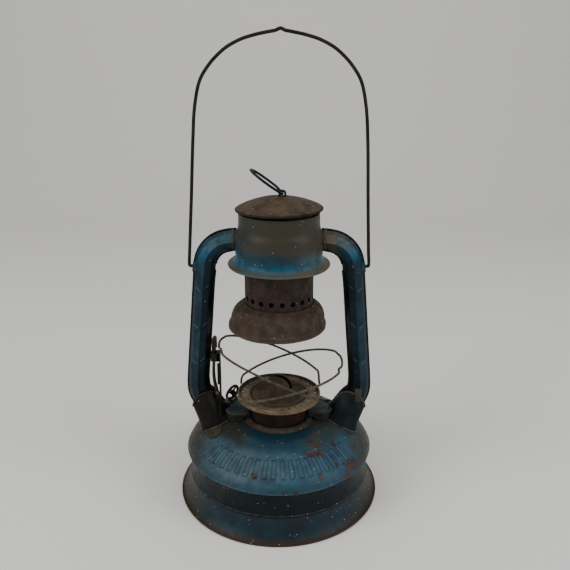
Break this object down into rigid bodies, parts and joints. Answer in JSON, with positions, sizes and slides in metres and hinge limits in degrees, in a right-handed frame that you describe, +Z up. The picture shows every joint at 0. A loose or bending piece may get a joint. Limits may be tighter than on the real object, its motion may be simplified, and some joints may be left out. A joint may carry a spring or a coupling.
{
  "type": "kerosene lantern",
  "caption": "Tubular kerosene hurricane lantern without its globe: round fuel tank, side tubes, hood, spring-loaded chimney, wick burner, globe plate with guard wires, and a wire bail.",
  "frame": {"origin": "centre of the foot on the ground", "axes": "+Z up, -Y towards the front, X from one side tube to the other"},
  "size_m": [0.172, 0.172, 0.3864],
  "materials": {
    "tank_paint": "worn dark blue enamel with rust patches, satin",
    "tube_paint": "worn blue enamel, satin, dark in the creases",
    "smoked_paint": "blue enamel smoked grey-brown, worn",
    "rusted_sheet": "brown rusted sheet steel, matt",
    "dark_sheet": "dark oxidised sheet steel, matt",
    "wire": "dark oxidised steel wire",
    "brass": "tarnished brass",
    "cotton": "woven cotton, charred at the top"
  },
  "bodies": {
    "frame": {"tank_dome": "tank_paint", "tank_foot": "tank_paint", "tank_pan": "dark_sheet", "filler_neck": "dark_sheet", "neck_ring": "smoked_paint", "burner_cup": "dark_sheet", "burner_cone": "rusted_sheet", "wick_tube": "brass", "tube_left_front": "tube_paint", "tube_left_rear": "tube_paint", "tube_right_front": "tube_paint", "tube_right_rear": "tube_paint", "tube_shoe_left": "tube_paint", "tube_shoe_right": "tube_paint", "air_duct_left": "smoked_paint", "air_duct_right": "smoked_paint", "tube_collar_left": "tube_paint", "tube_collar_right": "tube_paint", "bail_ear_left": "tube_paint", "bail_ear_right": "tube_paint", "hood": "smoked_paint", "hood_spring_seat": "dark_sheet", "lift_bracket": "dark_sheet"},
    "chimney": {"chimney_tube": "dark_sheet", "chimney_bell": "rusted_sheet", "spring_collar": "dark_sheet", "chimney_spring": "wire", "chimney_cap": "rusted_sheet", "ring_staple": "dark_sheet"},
    "lift_ring": {"lift_ring": "wire"},
    "bail": {"bail": "wire"},
    "globe_carrier": {"globe_plate": "rusted_sheet", "guard_wire_left": "wire", "guard_wire_right": "wire", "lift_strip": "rusted_sheet", "lift_link": "wire"},
    "wick_adjuster": {"wick_shaft": "brass", "wick_knob": "wire"},
    "wick": {"wick": "cotton"},
    "filler_cap": {"filler_cap": "rusted_sheet"}
  },
  "joints": [
    {"name": "chimney_lift", "type": "slide", "parent": "frame", "child": "chimney", "axis": [0, 0, 1], "range_m": [0, 0.018], "stiffness_N_per_m": 150, "springref_m": -0.012, "deforming": ["chimney_spring"]},
    {"name": "ring_swing", "type": "hinge", "parent": "chimney", "child": "lift_ring", "pos_m": [0.0026, 0, 0.2627], "axis": [0, 1, 0], "range_deg": [-48, 150]},
    {"name": "bail_swing", "type": "hinge", "parent": "frame", "child": "bail", "pos_m": [0, 0, 0.203], "axis": [1, 0, 0], "range_deg": [-140, 140]},
    {"name": "globe_lift", "type": "slide", "parent": "frame", "child": "globe_carrier", "axis": [0, 0, 1], "range_m": [0, 0.012]},
    {"name": "wick_turn", "type": "hinge", "parent": "frame", "child": "wick_adjuster", "pos_m": [-0.00324, -0.00764, 0.0845], "axis": [-0.9205, 0.3907, 0], "range_deg": [-32.5, 130.5]},
    {"name": "wick_raise", "type": "slide", "parent": "frame", "child": "wick", "axis": [0, 0, 1], "range_m": [-0.0159, 0.0039]},
    {"name": "filler_turn", "type": "hinge", "parent": "frame", "child": "filler_cap", "pos_m": [0, 0.056, 0.06201], "axis": [0, 0.356, 0.9345], "range_deg": [0, 340]}
  ],
  "couplings": [
    {"joint": "wick_turn", "follows": "wick_raise", "rad_per_m": -142.86}
  ]
}
